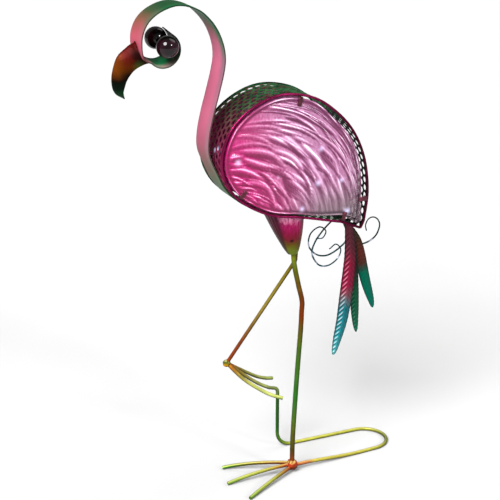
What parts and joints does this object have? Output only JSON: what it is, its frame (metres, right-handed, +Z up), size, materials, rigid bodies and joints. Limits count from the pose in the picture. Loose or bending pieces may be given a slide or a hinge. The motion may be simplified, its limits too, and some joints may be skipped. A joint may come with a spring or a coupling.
{
  "type": "garden figure",
  "caption": "Standing flamingo garden figure of painted metal with a moulded pink glass body lit by small lamps.",
  "frame": {"origin": "on the ground, under the middle of the bounding box", "axes": "+Z up, the bird faces -X, its near side panel faces -Y"},
  "size_m": [0.4542, 0.1534, 0.73],
  "materials": {
    "pink_paint": "satin metallic paint, green over the crown and breast, pink between",
    "band_paint": "satin metallic paint on perforated sheet",
    "magenta_paint": "glossy metallic paint",
    "feather_glass": "moulded in feathers, tinted pink, translucent",
    "tab_metal": "satin paint",
    "beak_paint": "glossy translucent paint, red to olive and black",
    "eye_bead": "high gloss, almost black",
    "cone_paint": "glossy metallic paint, crimson to olive",
    "leg_paint": "glossy translucent paint, green, olive and rust",
    "weld_metal": "glossy translucent paint over a rough weld",
    "tail_paint": "satin metallic paint, maroon to turquoise",
    "scroll_paint": "satin metallic paint, dark green",
    "lamp_wire": "clear insulated wire with small lamps"
  },
  "bodies": {
    "root": {"neck_ribbon": "pink_paint", "body_band": "band_paint", "rim_near": "magenta_paint", "rim_far": "magenta_paint", "panel_near": "feather_glass", "panel_far": "feather_glass", "tab_near_1": "tab_metal", "tab_near_2": "tab_metal", "tab_near_3": "tab_metal", "tab_near_4": "tab_metal", "tab_far_1": "tab_metal", "tab_far_2": "tab_metal", "tab_far_3": "tab_metal", "tab_far_4": "tab_metal", "beak": "beak_paint", "eye_near": "eye_bead", "eye_far": "eye_bead", "leg_cone": "cone_paint", "standing_leg": "leg_paint", "raised_leg": "leg_paint", "support_rod": "leg_paint", "toe_near": "leg_paint", "toe_middle": "leg_paint", "toe_far": "leg_paint", "raised_toe_near": "leg_paint", "raised_toe_far": "leg_paint", "foot_weld": "weld_metal", "ankle_weld": "weld_metal", "tail_feather_front": "tail_paint", "tail_feather_middle": "tail_paint", "tail_feather_back": "tail_paint", "scroll_front": "scroll_paint", "scroll_middle": "scroll_paint", "scroll_back": "scroll_paint", "lamp_string": "lamp_wire"}
  },
  "joints": []
}
